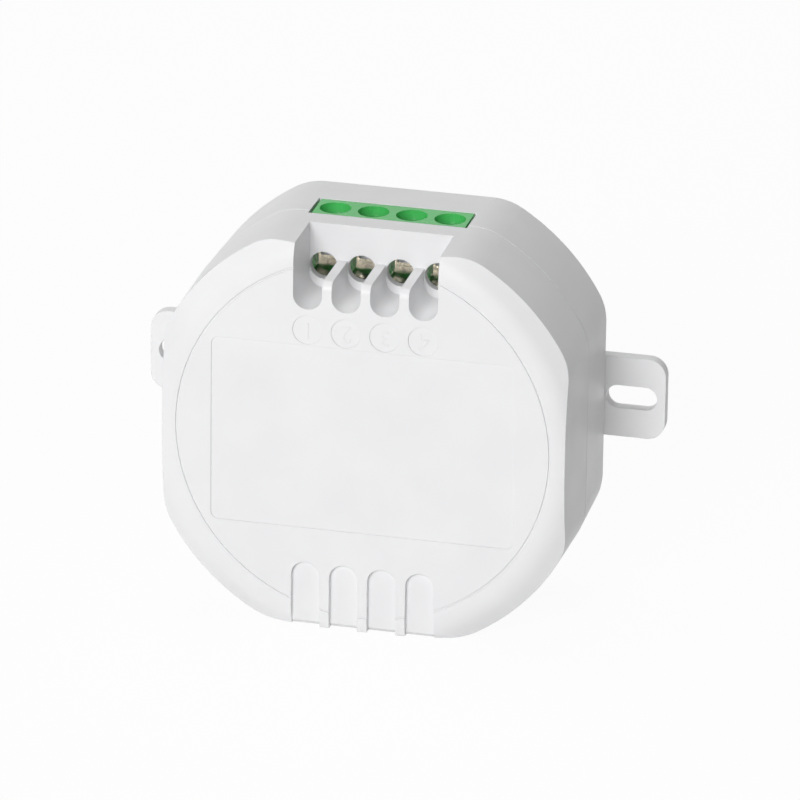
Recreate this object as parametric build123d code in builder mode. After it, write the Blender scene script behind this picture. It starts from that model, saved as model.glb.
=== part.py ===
from build123d import *
import math
import os

# Flush-mounted radio relay module for a round wall box.
# Frame: X to the right along the two fixing ears, Y into the module from the label face,
# Z up with the terminals on top. The origin is under the middle of the module, on the flat
# side that it stands on. Lengths are millimetres. A "depth" is measured from the label face
# and a "rise" from the middle of the height.

# Housing outline: a circle cut by four flats, widest at the parting plane
body_width = 53.9
body_height = 53.3
corner_bulge = 5.6
corner_blend = 8.0
body_depth = 25.4
rear_shell_depth = 13.2
draft = 1.2
wall = 1.5
face_wall = 1.6
back_wall = 1.6
back_edge_radius = 1.9
seam_chamfer = 0.12

# Label face: a flat disc whose rim slopes back towards the four corners
rim_width = 3.0
rim_drop = 1.9
rim_blend = 5.0
ring_inset = 1.8
ring_rise = 0.35
ring_width = 0.25
ring_cut = 0.15

# Shallow pocket of the label, left bare, and one round field per pole for its number
label_width = 40.2
label_height = 25.3
label_drop = 0.25
label_corner_radius = 1.0
label_recess = 0.12
field_diameter = 3.9
field_gap = 0.9

# Wire notch at the top of the label face, with one channel and one hole per wire
poles = 4
pitch = 5.08
row_shift = 0.25
rib_width = 1.28
channel_sink = 8.9
wire_hole_step = 0.05
wire_axis_sink = 5.9
rib_top_sink = 5.0
rib_nose_radius = 1.2
notch_web = 1.2

# Closed tongues at the bottom, in line with the wire channels
tongue_height = 9.3
tongue_recess = 0.7
tongue_chamfer = 0.5

# Fixing ears, flush with the back
ear_reach = 7.85
ear_end = 1.1
ear_height = 11.1
ear_thickness = 1.6
ear_corner_radius = 2.4
ear_rise = 0.45
slot_length = 6.8
slot_width = 3.2

# Lap joint and snap hooks between the shells
lap_height = 0.8
lap_gap = 0.1
hook_width = 5.0
hook_thickness = 1.1
hook_gap = 0.3
hook_reach = 5.0
hook_root = 4.5
hook_barb = 0.8
hook_spacing = 19.0

# Terminal block, and the window in the shells for its screw tower
block_gap = 0.1
block_depth = 9.6
block_sink = 0.15
block_shoulder_gap = 0.15
block_floor = 1.0
screw_setback = 4.95
tower_depth = 5.6
window_end_gap = 0.35
cell_web = 0.78
cell_gap = 0.1
clamp_depth = 5.2
clamp_wall = 0.5
clamp_roof = 1.2
clamp_mouth = 2.7
clamp_mouth_rise = 0.5
funnel_step = 0.2
pin_width = 1.0
pin_thickness = 0.7
pin_tail = 1.2

# Terminal screws and the pressure plates riveted to their tips
screw_travel = 1.4
well_web = 0.98
head_gap = 0.15
head_height = 1.1
thread_side_gap = 0.1
thread_gap = 0.05
slit_width = 0.6
slit_depth = 0.5
plate_thickness = 0.5
plate_side_gap = 0.1
plate_depth = 4.2
rivet_diameter = 1.2
rivet_head_diameter = 1.9
rivet_head_height = 0.2
running_gap = 0.05

# Circuit board and what carries it
board_thickness = 1.6
board_gap = 0.35
rear_room = 3.0
support_inset = 8.45
support_rise = 12.7
post_diameter = 4.4
pillar_diameter = 3.0
board_screw_diameter = 2.2
board_screw_head = 4.0
board_screw_head_height = 1.2
board_screw_length = 4.0
press_gap = 0.02
seat_gap = 0.05

# Spacing of the parts on the board
part_gap = 0.5
edge_gap = 0.6
upper_row_height = 4.0

# Push-button switch and its cap in the back
switch_size = 4.5
switch_height = 1.5
plunger_diameter = 2.2
plunger_gap = 0.08
plunger_flange = 3.2
plunger_flange_height = 0.3
plunger_stand = 0.55
button_travel = 0.3
button_diameter = 3.8
button_gap = 0.1
button_flange = 5.6
button_sink = 0.1

# Status lamp and its light guide
lamp_offset = 5.0
lamp_length = 1.6
lamp_width = 0.8
lamp_height = 0.7
guide_diameter = 2.0
guide_flange = 3.0
guide_gap = 0.25

# Power relay
relay_length = 17.6
relay_width = 10.1
relay_height = 12.3
relay_wall = 0.8
relay_edge_radius = 0.5
relay_base_thickness = 1.2
relay_stand = 0.2
relay_fit = 0.1
yoke_thickness = 1.0
yoke_width = 5.6
yoke_margin = 0.2
armature_thickness = 1.1
armature_length = 10.0
armature_room = 2.75
armature_swing = 3.5
armature_gap = 0.1
core_diameter = 4.0
pole_diameter = 5.6
pole_thickness = 0.5
bobbin_diameter = 8.2
bobbin_wall = 0.7
coil_margin = 0.3
winding_sink = 0.5
leaf_thickness = 0.25
leaf_width = 4.0
leaf_start = 1.0
leaf_overhang = 1.2
contact_diameter = 2.2
moving_contact_height = 0.9
fixed_contact_height = 0.45
contact_offset = 12.4
contact_gap = 0.06
strip_thickness = 0.6
coil_pin_spacing = 7.0
coil_pin_inset = 2.2

# Leads of the parts on the board
lead_diameter = 0.7
lead_gap = 0.1

# Film capacitor
film_length = 13.0
film_width = 5.0
film_height = 11.0
film_lead_spacing = 10.0
film_edge_radius = 0.5

# Electrolytic capacitor
can_diameter = 8.0
can_height = 11.5
can_lead_spacing = 3.5
can_groove_depth = 0.4
can_groove_rise = 2.0
can_edge_radius = 0.6

# Surge varistor
varistor_diameter = 7.0
varistor_thickness = 3.4
varistor_edge_radius = 0.9
varistor_lead_spacing = 5.0
varistor_stand = 1.2

# Fuse, standing on end with one lead turned back down
fuse_diameter = 3.4
fuse_length = 8.6
fuse_cap_length = 1.8
fuse_cap_rim = 0.15
fuse_lead_reach = 1.2
fuse_lead_bend = 0.8
fuse_lead_pitch = 2.6
fuse_stand = 1.0

# Bridge rectifier
bridge_length = 6.4
bridge_width = 3.9
bridge_height = 2.6
bridge_lead_spacing = 5.08
bridge_row_spacing = 2.54
bridge_chamfer = 0.4

# Choke
choke_diameter = 6.0
choke_height = 8.0
choke_flange = 1.2
choke_core_diameter = 3.0
choke_lead_spacing = 4.0

# Radio board on its pin strip, with its chip, crystal and spring antenna
radio_length = 20.0
radio_height = 11.5
radio_thickness = 0.8
radio_stand = 0.5
strip_pins = 6
strip_pitch = 2.0
strip_height = 2.5
radio_chip_size = 4.0
radio_chip_height = 0.9
crystal_length = 3.2
crystal_width = 2.5
crystal_height = 0.7
antenna_diameter = 4.0
antenna_wire = 0.8
antenna_pitch = 2.4
antenna_turns = 6.5
antenna_stand = 2.6

# Parts on the back of the board
controller_inset = 8.3
controller_length = 6.0
controller_width = 3.9
controller_height = 1.4
controller_leads = 4
controller_lead_pitch = 1.27
controller_lead_width = 0.4
controller_lead_reach = 1.0
controller_lead_thickness = 0.2
regulator_length = 4.5
regulator_width = 2.5
regulator_height = 1.5
regulator_tab = 1.6
chip_length = 2.0
chip_width = 1.25
chip_pitch = 3.0
resistor_height = 0.5
resistor_count = 5
capacitor_height = 0.9
capacitor_count = 4

# Derived outline
mid_height = body_height / 2
corner_diameter = max(body_width, body_height) + corner_bulge
disc_diameter = corner_diameter - 2 * rim_width
ring_diameter = min(body_width, body_height) - 2 * ring_inset
ear_span = body_width + 2 * ear_reach
slot_spacing = ear_span - 2 * ear_end - slot_length
taper = math.tan(math.radians(draft))

# Derived depths, from the back of the module to its face
split_depth = body_depth - rear_shell_depth
inner_back = body_depth - back_wall
board_back = inner_back - rear_room
board_front = board_back - board_thickness
screw_depth = board_front - screw_setback
block_front = board_front - block_depth
boss_back = block_front - block_gap
notch_depth = boss_back - notch_web
tower_front = screw_depth - tower_depth / 2
tower_back = screw_depth + tower_depth / 2
window_front = tower_front - block_gap
window_back = tower_back + block_gap

# Derived sizes of one pole
channel_width = pitch - rib_width
wire_hole_diameter = channel_width - 2 * wire_hole_step
funnel_diameter = channel_width + 2 * funnel_step
clamp_width = pitch - cell_web - 2 * cell_gap
thread_diameter = clamp_width - 2 * clamp_wall - 2 * thread_side_gap
access_diameter = pitch - well_web
head_diameter = access_diameter - 2 * head_gap
pole_x = [row_shift + (i - (poles - 1) / 2) * pitch for i in range(poles)]
block_half = poles * pitch / 2
notch_half = (poles - 1) * pitch / 2 + channel_width / 2

# Derived heights of the wires and the clamps
wire_axis = body_height - wire_axis_sink
rib_top = body_height - rib_top_sink
channel_axis = body_height - channel_sink + channel_width / 2
field_axis = body_height - channel_sink - field_gap - field_diameter / 2
tongue_axis = tongue_height - channel_width / 2
clamp_bottom = wire_axis + clamp_mouth_rise - clamp_mouth - clamp_wall
clamp_top = wire_axis + clamp_mouth_rise + clamp_roof
block_bottom = clamp_bottom - cell_gap - block_floor

# Derived places on the board: a row under the block, the radio and its antenna along the
# bottom edge, and between them the capacitors at the left and the relay at the right
board_inset = wall + hook_gap + hook_thickness + board_gap
board_half_width = body_width / 2 - board_inset
upper_row = block_bottom - mid_height - part_gap - upper_row_height / 2
fuse_span = fuse_diameter / 2 + fuse_lead_pitch + lead_diameter / 2
upper_start = -(varistor_diameter + bridge_length + fuse_span + 2 * part_gap) / 2
varistor_x = upper_start + varistor_diameter / 2
bridge_x = upper_start + varistor_diameter + part_gap + bridge_length / 2
fuse_x = upper_start + varistor_diameter + bridge_length + 2 * part_gap + fuse_diameter / 2
antenna_rise = board_inset + edge_gap + antenna_diameter / 2 - mid_height
radio_chip_rise = antenna_rise + antenna_diameter / 2 + part_gap
radio_rise = radio_chip_rise + radio_chip_height + seat_gap + radio_thickness / 2
strip_rise = radio_rise + radio_thickness / 2 + seat_gap + strip_pitch / 2
band_top = upper_row - upper_row_height / 2 - part_gap
band_bottom = strip_rise + strip_pitch / 2 + part_gap
band_rise = (band_top + band_bottom) / 2
column_left = edge_gap - board_half_width
film_x = column_left + film_length / 2
film_rise = band_rise + (can_diameter + part_gap) / 2
choke_x = column_left + choke_diameter / 2
can_x = column_left + choke_diameter + part_gap + can_diameter / 2
can_rise = band_rise - (film_width + part_gap) / 2
relay_left = board_half_width - edge_gap - relay_length
relay_x = relay_left + relay_length / 2
switch_x = column_left + part_gap + switch_size / 2
switch_rise = (film_rise + can_rise) / 2
lamp_x = switch_x + lamp_offset
controller_x = relay_left + controller_inset
regulator_x = (film_x + film_length / 2 + relay_left) / 2
resistor_rise = (upper_row - bridge_row_spacing / 2 + film_rise) / 2
capacitor_rise = (can_rise + strip_rise) / 2

# Derived places in the relay
relay_back = board_front - relay_stand
relay_front = board_front - relay_height
base_front = relay_back - relay_base_thickness
foot_front = base_front - seat_gap - yoke_thickness
bobbin_back = foot_front - seat_gap
pole_face = relay_front + relay_wall + armature_room
bobbin_front = pole_face + pole_thickness + seat_gap
yoke_x = relay_left + relay_wall + yoke_margin
coil_x = yoke_x + yoke_thickness + coil_margin + bobbin_diameter / 2
contact_x = yoke_x + contact_offset
strip_x = relay_left + relay_length - relay_wall - yoke_margin - strip_thickness
coil_pin_x = coil_x - bobbin_diameter / 2 + coil_pin_inset

def y_at(depth):
    """Y of a plane that lies this deep behind the label face."""
    return depth - body_depth / 2


def face_plane(depth, height=mid_height):
    """Plane parallel to the label face, seen from the front: +X right, up along Z."""
    return Plane(origin=(0, y_at(depth), height), x_dir=(1, 0, 0), z_dir=(0, -1, 0))


def side_plane(x=0.0):
    """Plane square to X whose own axes are Y and Z."""
    return Plane(origin=(x, 0, 0), x_dir=(0, 1, 0), z_dir=(1, 0, 0))


def draw_outline(inset=0.0):
    """The housing outline, moved inwards, in the sketch that is open."""
    Circle(corner_diameter / 2 - inset)
    Rectangle(body_width - 2 * inset, body_height - 2 * inset, mode=Mode.INTERSECT)
    fillet(vertices(), corner_blend - inset)


def drafted(depth, inset=0.0):
    """Inset of the housing outline at a depth, with the mould draft away from the parting plane."""
    return inset + abs(depth - split_depth) * taper


def housing_form(inset, near, far):
    """Solid between two depths that follows the drafted outline at an inset."""
    with BuildPart() as form:
        with BuildSketch(face_plane(far)):
            draw_outline(drafted(far, inset))
        with BuildSketch(face_plane(near)):
            draw_outline(drafted(near, inset))
        loft(ruled=True)
    return form.part


def face_dome(offset):
    """Turned form of the label face, its flat disc and the rim that slopes back to the corners."""
    disc = disc_diameter / 2
    corner = corner_diameter / 2
    reach = corner + wall
    slope = rim_drop / (corner - disc)
    with BuildPart() as dome:
        with BuildSketch(side_plane()):
            with BuildLine():
                Polyline(
                    (y_at(offset), mid_height),
                    (y_at(offset), mid_height + disc),
                    (y_at(offset + slope * (reach - disc)), mid_height + reach),
                    (y_at(body_depth), mid_height + reach),
                    (y_at(body_depth), mid_height),
                    close=True,
                )
            make_face()
            rim = vertices().group_by(Axis.X)[0].sort_by(Axis.Y)[-1]
            fillet(rim, rim_blend)
        revolve(axis=Axis((0, 0, mid_height), (0, 1, 0)))
    return dome.part


def save(piece, label):
    """Name a finished piece and write it."""
    piece.label = label
    export_step(piece, f"parts/{label}.step")


os.makedirs("parts", exist_ok=True)

# Snap hooks: where each one leaves the inner wall, and which way is out
hook_wall_x = body_width / 2 - wall
hook_wall_z = body_height / 2 - wall
hook_frames = []
for out, across in (((1, 0, 0), 0), ((-1, 0, 0), 0), ((0, 0, -1), -1), ((0, 0, -1), 1)):
    reach = hook_wall_x if out[0] else hook_wall_z
    side = Vector(out).cross(Vector(0, 1, 0))
    root = Vector(0, y_at(split_depth), mid_height) + Vector(out) * reach + side * (across * hook_spacing / 2)
    hook_frames.append(Plane(origin=root, x_dir=out, z_dir=side))

# The window for the screw tower: the part of it that a shell reaches is cut from that shell
with BuildPart() as tower_window:
    with BuildSketch(face_plane(window_back, 0)):
        with Locations((row_shift, body_height)):
            Rectangle(2 * (block_half + window_end_gap), 4 * wall)
    extrude(amount=window_back - min(window_front, split_depth))

# Front shell: label face, wire notch with channels, lap rim, snap hooks and board pillars
boss_half = notch_half + notch_web
boss_bottom = body_height - channel_sink - notch_web
support_x = body_width / 2 - support_inset
lower_support = support_rise - mid_height
with BuildPart() as front_cavity:
    add(housing_form(wall, 0, split_depth))
    add(face_dome(face_wall), mode=Mode.INTERSECT)
    with BuildSketch(face_plane(boss_back, 0)):
        with Locations((row_shift, (boss_bottom + body_height) / 2)):
            Rectangle(2 * boss_half, body_height - boss_bottom)
    extrude(amount=boss_back, mode=Mode.SUBTRACT)

with BuildPart() as front_shell:
    add(housing_form(0, 0, split_depth))
    chamfer(faces().sort_by(Axis.Y)[-1].edges(), seam_chamfer)
    add(face_dome(0), mode=Mode.INTERSECT)
    add(front_cavity.part, mode=Mode.SUBTRACT)
    # lap rim, left out behind the terminal window
    with BuildSketch(face_plane(split_depth)):
        draw_outline(wall / 2 + lap_gap)
        with Locations((row_shift, mid_height)):
            Rectangle(2 * (block_half + wall), 4 * wall, mode=Mode.SUBTRACT)
    extrude(amount=-lap_height)
    with BuildSketch(face_plane(split_depth)):
        draw_outline(wall)
    extrude(amount=-lap_height, mode=Mode.SUBTRACT)
    # snap hooks
    for frame in hook_frames:
        with BuildSketch(frame):
            with BuildLine():
                Polyline(
                    (wall / 2, -hook_root),
                    (wall / 2, -hook_gap),
                    (-hook_gap, -hook_gap),
                    (-hook_gap, hook_reach - 2 * hook_barb),
                    (hook_barb - hook_gap, hook_reach - hook_barb),
                    (-hook_gap, hook_reach),
                    (-hook_gap - hook_thickness, hook_reach),
                    (-hook_gap - hook_thickness, -hook_root),
                    close=True,
                )
            make_face()
        extrude(amount=hook_width / 2, both=True)
    # pillars that hold the board down on its posts
    with BuildSketch(face_plane(board_front - seat_gap)):
        with Locations((support_x, upper_row), (-support_x, lower_support)):
            Circle(pillar_diameter / 2)
    extrude(amount=board_front - seat_gap - face_wall)
    # wire notch, open to the front and the top
    with BuildSketch(face_plane(notch_depth, 0)):
        with Locations((row_shift, rib_top + rib_top_sink)):
            Rectangle(2 * notch_half, 2 * rib_top_sink)
    extrude(amount=2 * notch_depth, mode=Mode.SUBTRACT)
    # one round-bottomed channel per wire, and the hole that it leads to
    with BuildSketch(face_plane(notch_depth, 0)):
        with Locations(*[(x, channel_axis) for x in pole_x]):
            Circle(channel_width / 2)
        with Locations(*[(x, (channel_axis + rib_top) / 2) for x in pole_x]):
            Rectangle(channel_width, rib_top - channel_axis)
    extrude(amount=2 * notch_depth, mode=Mode.SUBTRACT)
    with BuildSketch(face_plane(boss_back, 0)):
        with Locations(*[(x, wire_axis) for x in pole_x]):
            Circle(wire_hole_diameter / 2)
    extrude(amount=boss_back, mode=Mode.SUBTRACT)
    # rounded noses on the ribs between the channels
    with BuildSketch(side_plane(row_shift - notch_half)):
        with Locations((y_at(rib_nose_radius / 2), rib_top - rib_nose_radius / 2)):
            Rectangle(rib_nose_radius, rib_nose_radius)
        with Locations((y_at(rib_nose_radius), rib_top - rib_nose_radius)):
            Circle(rib_nose_radius, mode=Mode.SUBTRACT)
    extrude(amount=2 * notch_half, mode=Mode.SUBTRACT)
    # fine ring round the label
    with BuildSketch(face_plane(ring_cut, mid_height + ring_rise)):
        Circle(ring_diameter / 2)
        Circle(ring_diameter / 2 - ring_width, mode=Mode.SUBTRACT)
    extrude(amount=2 * ring_cut, mode=Mode.SUBTRACT)
    # label pocket and number fields
    with BuildSketch(face_plane(label_recess, 0)):
        with Locations((0, mid_height + ring_rise - label_drop)):
            RectangleRounded(label_width, label_height, label_corner_radius)
        with Locations(*[(x, field_axis) for x in pole_x]):
            Circle(field_diameter / 2)
    extrude(amount=2 * label_recess, mode=Mode.SUBTRACT)
    # closed tongues
    with BuildSketch(face_plane(tongue_recess, 0)):
        with Locations(*[(x, tongue_axis) for x in pole_x]):
            Circle(channel_width / 2)
        with Locations(*[(x, 0) for x in pole_x]):
            Rectangle(channel_width, 2 * tongue_axis)
    extrude(amount=2 * tongue_recess, mode=Mode.SUBTRACT)
    tongue_lip = drafted(tongue_recess, tongue_chamfer)
    with BuildSketch(*[side_plane(x - channel_width / 2) for x in pole_x]):
        with BuildLine():
            Polyline(
                (y_at(0), 0),
                (y_at(0), tongue_lip),
                (y_at(tongue_recess), tongue_lip),
                (y_at(tongue_recess + tongue_lip), 0),
                close=True,
            )
        make_face()
    extrude(amount=channel_width, mode=Mode.SUBTRACT)
    add(tower_window.part, mode=Mode.SUBTRACT)
save(front_shell.part, "front_shell")

# Rear shell: back wall with ears, terminal window, board posts, button and light guide holes
post_spots = [(s * support_x, rise) for s in (-1, 1) for rise in (lower_support, upper_row)]
screw_spots = [(-support_x, upper_row), (support_x, lower_support)]
with BuildPart() as rear_shell:
    add(housing_form(0, split_depth, body_depth))
    chamfer(faces().sort_by(Axis.Y)[0].edges(), seam_chamfer)
    fillet(faces().sort_by(Axis.Y)[-1].edges(), back_edge_radius)
    add(housing_form(wall, split_depth, inner_back), mode=Mode.SUBTRACT)
    # rebate for the lap rim
    with BuildSketch(face_plane(split_depth)):
        draw_outline(wall / 2)
    extrude(amount=-lap_height - lap_gap, mode=Mode.SUBTRACT)
    # recesses that the hook barbs snap into
    for frame in hook_frames:
        with BuildSketch(frame):
            with Locations((0, hook_reach - hook_barb)):
                Rectangle(2 * hook_barb, 2.6 * hook_barb)
        extrude(amount=hook_width / 2 + hook_gap, both=True, mode=Mode.SUBTRACT)
    add(tower_window.part, mode=Mode.SUBTRACT)
    # ears
    with BuildSketch(face_plane(body_depth, mid_height + ear_rise)):
        RectangleRounded(ear_span, ear_height, ear_corner_radius)
        Rectangle(body_width - 2 * wall, ear_height, mode=Mode.SUBTRACT)
        with Locations((-slot_spacing / 2, 0), (slot_spacing / 2, 0)):
            SlotOverall(slot_length, slot_width, mode=Mode.SUBTRACT)
    extrude(amount=ear_thickness)
    # posts that carry the board, two of them bored for its screws
    with BuildSketch(face_plane(inner_back)):
        with Locations(*post_spots):
            Circle(post_diameter / 2)
    extrude(amount=inner_back - board_back)
    with BuildSketch(face_plane(board_front + board_screw_length + seat_gap)):
        with Locations(*screw_spots):
            Circle(board_screw_diameter / 2 + press_gap)
    extrude(amount=board_screw_length, mode=Mode.SUBTRACT)
    # holes for the button and the light guide
    with BuildSketch(face_plane(body_depth)):
        with Locations((switch_x, switch_rise)):
            Circle(button_diameter / 2 + button_gap)
        with Locations((lamp_x, switch_rise)):
            Circle(guide_diameter / 2 + press_gap)
    extrude(amount=back_wall, mode=Mode.SUBTRACT)
save(rear_shell.part, "rear_shell")

# Terminal block housing: a stepped bar with one cell, funnel and screw well per pole
block_top = body_height - block_sink
shoulder_top = body_height - drafted(board_front, wall) - block_shoulder_gap
cell_front = screw_depth - clamp_depth / 2 - cell_gap
cell_back = screw_depth + clamp_depth / 2 + cell_gap
pin_height = clamp_bottom + clamp_wall / 2
with BuildPart() as terminal_housing:
    with BuildSketch(side_plane(row_shift - block_half)):
        with BuildLine():
            Polyline(
                (y_at(block_front), block_bottom),
                (y_at(block_front), shoulder_top),
                (y_at(tower_front), shoulder_top),
                (y_at(tower_front), block_top),
                (y_at(tower_back), block_top),
                (y_at(tower_back), shoulder_top),
                (y_at(board_front), shoulder_top),
                (y_at(board_front), block_bottom),
                close=True,
            )
        make_face()
    extrude(amount=2 * block_half)
    # cells for the clamps
    with BuildSketch(face_plane(cell_back, 0)):
        with Locations(*[(x, (clamp_bottom + clamp_top) / 2) for x in pole_x]):
            Rectangle(clamp_width + 2 * cell_gap, clamp_top - clamp_bottom + 2 * cell_gap)
    extrude(amount=cell_back - cell_front, mode=Mode.SUBTRACT)
    # wire funnels
    with BuildSketch(face_plane(cell_front, 0)):
        with Locations(*[(x, wire_axis) for x in pole_x]):
            Circle(funnel_diameter / 2)
    extrude(amount=cell_front - block_front, mode=Mode.SUBTRACT)
    # screw wells
    with BuildSketch(Plane.XY.offset(clamp_top)):
        with Locations(*[(x, y_at(screw_depth)) for x in pole_x]):
            Circle(access_diameter / 2)
    extrude(amount=block_top - clamp_top, mode=Mode.SUBTRACT)
    # slots for the solder pins
    with BuildSketch(face_plane(board_front, 0)):
        with Locations(*[(x, pin_height) for x in pole_x]):
            Rectangle(pin_width + 2 * cell_gap, pin_thickness + 2 * cell_gap)
    extrude(amount=board_front - cell_back, mode=Mode.SUBTRACT)
save(terminal_housing.part, "terminal_housing")

# Terminal clamps, screws and pressure plates, one set per pole
head_bottom = clamp_top + screw_travel + running_gap
plate_top = wire_axis + clamp_mouth_rise - running_gap
plate_bottom = plate_top - plate_thickness
tip = plate_top + running_gap
for number, x in enumerate(pole_x, start=1):
    with BuildPart() as clamp:
        with BuildSketch(face_plane(screw_depth + clamp_depth / 2, 0)):
            with Locations((x, (clamp_bottom + clamp_top) / 2)):
                Rectangle(clamp_width, clamp_top - clamp_bottom)
            with Locations((x, wire_axis + clamp_mouth_rise - clamp_mouth / 2)):
                Rectangle(clamp_width - 2 * clamp_wall, clamp_mouth, mode=Mode.SUBTRACT)
        extrude(amount=clamp_depth)
        with BuildSketch(Plane.XY.offset(clamp_top - clamp_roof)):
            with Locations((x, y_at(screw_depth))):
                Circle(thread_diameter / 2 + thread_gap)
        extrude(amount=clamp_roof, mode=Mode.SUBTRACT)
        with BuildSketch(face_plane(board_back + pin_tail, 0)):
            with Locations((x, pin_height)):
                Rectangle(pin_width, pin_thickness)
        extrude(amount=board_back + pin_tail - screw_depth - clamp_depth / 2)
    save(clamp.part, f"terminal_clamp_{number}")

    with BuildPart() as screw:
        with BuildSketch(side_plane(x)):
            with BuildLine():
                Polyline(
                    (y_at(screw_depth), plate_bottom - running_gap - rivet_head_height),
                    (y_at(screw_depth) + rivet_head_diameter / 2, plate_bottom - running_gap - rivet_head_height),
                    (y_at(screw_depth) + rivet_head_diameter / 2, plate_bottom - running_gap),
                    (y_at(screw_depth) + rivet_diameter / 2, plate_bottom - running_gap),
                    (y_at(screw_depth) + rivet_diameter / 2, tip),
                    (y_at(screw_depth) + thread_diameter / 2, tip),
                    (y_at(screw_depth) + thread_diameter / 2, head_bottom),
                    (y_at(screw_depth) + head_diameter / 2, head_bottom),
                    (y_at(screw_depth) + head_diameter / 2, head_bottom + head_height),
                    (y_at(screw_depth), head_bottom + head_height),
                    close=True,
                )
            make_face()
        revolve(axis=Axis((x, y_at(screw_depth), 0), (0, 0, 1)))
        with BuildSketch(Plane.XY.offset(head_bottom + head_height - slit_depth)):
            with Locations((x, y_at(screw_depth))):
                Rectangle(head_diameter + slit_width, slit_width)
                Rectangle(slit_width, head_diameter / 2)
        extrude(amount=slit_depth, mode=Mode.SUBTRACT)
    save(screw.part, f"terminal_screw_{number}")

    with BuildPart() as plate:
        with BuildSketch(Plane.XY.offset(plate_bottom)):
            with Locations((x, y_at(screw_depth))):
                RectangleRounded(clamp_width - 2 * clamp_wall - 2 * plate_side_gap, plate_depth, 3 * plate_side_gap)
                Circle(rivet_diameter / 2 + running_gap, mode=Mode.SUBTRACT)
        extrude(amount=plate_thickness)
    save(plate.part, f"terminal_plate_{number}")

# Parts on the board. Each lead that goes through the board is noted for the board's own holes.
lead_holes = []
tail_end = board_back + pin_tail


def leads(spots, near):
    """Round leads that run from a depth through the board."""
    with BuildPart() as wires:
        with BuildSketch(face_plane(tail_end)):
            with Locations(*spots):
                Circle(lead_diameter / 2)
        extrude(amount=tail_end - near)
    lead_holes.extend(spots)
    return wires.part


def turned(x, rise, outline):
    """Part turned about a line square to the board, from an outline of depths and radii."""
    centre = mid_height + rise
    with BuildPart() as spun:
        with BuildSketch(side_plane(x)):
            with BuildLine():
                Polyline(*[(y_at(depth), centre + radius) for depth, radius in outline], close=True)
            make_face()
        revolve(axis=Axis((x, 0, centre), (0, 1, 0)))
    return spun.part


# Film capacitor
film_back = board_front - seat_gap
film_leads = [(film_x + s * film_lead_spacing / 2, film_rise) for s in (-1, 1)]
with BuildPart() as film_capacitor:
    with BuildSketch(face_plane(film_back)):
        with Locations((film_x, film_rise)):
            Rectangle(film_length, film_width)
    extrude(amount=film_height)
    fillet(edges().filter_by(Axis.Y), film_edge_radius)
    fillet(faces().sort_by(Axis.Y)[0].edges(), film_edge_radius)
    add(leads(film_leads, film_back))
save(film_capacitor.part, "film_capacitor")

# Electrolytic capacitor
can_radius = can_diameter / 2
can_leads = [(can_x + s * can_lead_spacing / 2, can_rise) for s in (-1, 1)]
can_groove = film_back - can_groove_rise
can_outline = [
    (film_back, 0),
    (film_back, can_radius),
    (can_groove + can_groove_depth, can_radius),
    (can_groove, can_radius - can_groove_depth),
    (can_groove - can_groove_depth, can_radius),
    (film_back - can_height, can_radius),
    (film_back - can_height, 0),
]
with BuildPart() as electrolytic_capacitor:
    add(turned(can_x, can_rise, can_outline))
    fillet(faces().sort_by(Axis.Y)[0].edges(), can_edge_radius)
    add(leads(can_leads, film_back))
save(electrolytic_capacitor.part, "electrolytic_capacitor")

# Surge varistor, a disc that stands on its two leads
varistor_axis = board_front - varistor_stand - varistor_diameter / 2
varistor_leads = [(varistor_x + s * varistor_lead_spacing / 2, upper_row) for s in (-1, 1)]
with BuildPart() as varistor:
    with BuildSketch(Plane.XY.offset(mid_height + upper_row - varistor_thickness / 2)):
        with Locations((varistor_x, y_at(varistor_axis))):
            Circle(varistor_diameter / 2)
    extrude(amount=varistor_thickness)
    fillet(edges(), varistor_edge_radius)
    add(leads(varistor_leads, varistor_axis))
save(varistor.part, "varistor")

# Fuse with two end caps
fuse_back = board_front - fuse_stand
fuse_front = fuse_back - fuse_length
fuse_radius = fuse_diameter / 2
fuse_outline = [
    (fuse_back, 0),
    (fuse_back, fuse_radius),
    (fuse_back - fuse_cap_length, fuse_radius),
    (fuse_back - fuse_cap_length, fuse_radius - fuse_cap_rim),
    (fuse_front + fuse_cap_length, fuse_radius - fuse_cap_rim),
    (fuse_front + fuse_cap_length, fuse_radius),
    (fuse_front, fuse_radius),
    (fuse_front, 0),
]
with BuildPart() as fuse:
    add(turned(fuse_x, upper_row, fuse_outline))
    add(leads([(fuse_x, upper_row)], fuse_back))
    with BuildLine(Plane.XY.offset(mid_height + upper_row)) as wire_path:
        FilletPolyline(
            (fuse_x, y_at(fuse_front + fuse_cap_length)),
            (fuse_x, y_at(fuse_front - fuse_lead_reach)),
            (fuse_x + fuse_lead_pitch, y_at(fuse_front - fuse_lead_reach)),
            (fuse_x + fuse_lead_pitch, y_at(tail_end)),
            radius=fuse_lead_bend,
        )
    with BuildSketch(face_plane(fuse_front + fuse_cap_length)):
        with Locations((fuse_x, upper_row)):
            Circle(lead_diameter / 2)
    sweep(path=wire_path.line)
lead_holes.append((fuse_x + fuse_lead_pitch, upper_row))
save(fuse.part, "fuse")

# Bridge rectifier
bridge_leads = [
    (bridge_x + s * bridge_lead_spacing / 2, upper_row + t * bridge_row_spacing / 2)
    for s in (-1, 1) for t in (-1, 1)
]
with BuildPart() as bridge_rectifier:
    with BuildSketch(face_plane(film_back)):
        with Locations((bridge_x, upper_row)):
            Rectangle(bridge_length, bridge_width)
    extrude(amount=bridge_height)
    chamfer(faces().sort_by(Axis.Y)[0].edges(), bridge_chamfer)
    add(leads(bridge_leads, film_back))
save(bridge_rectifier.part, "bridge_rectifier")

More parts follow.
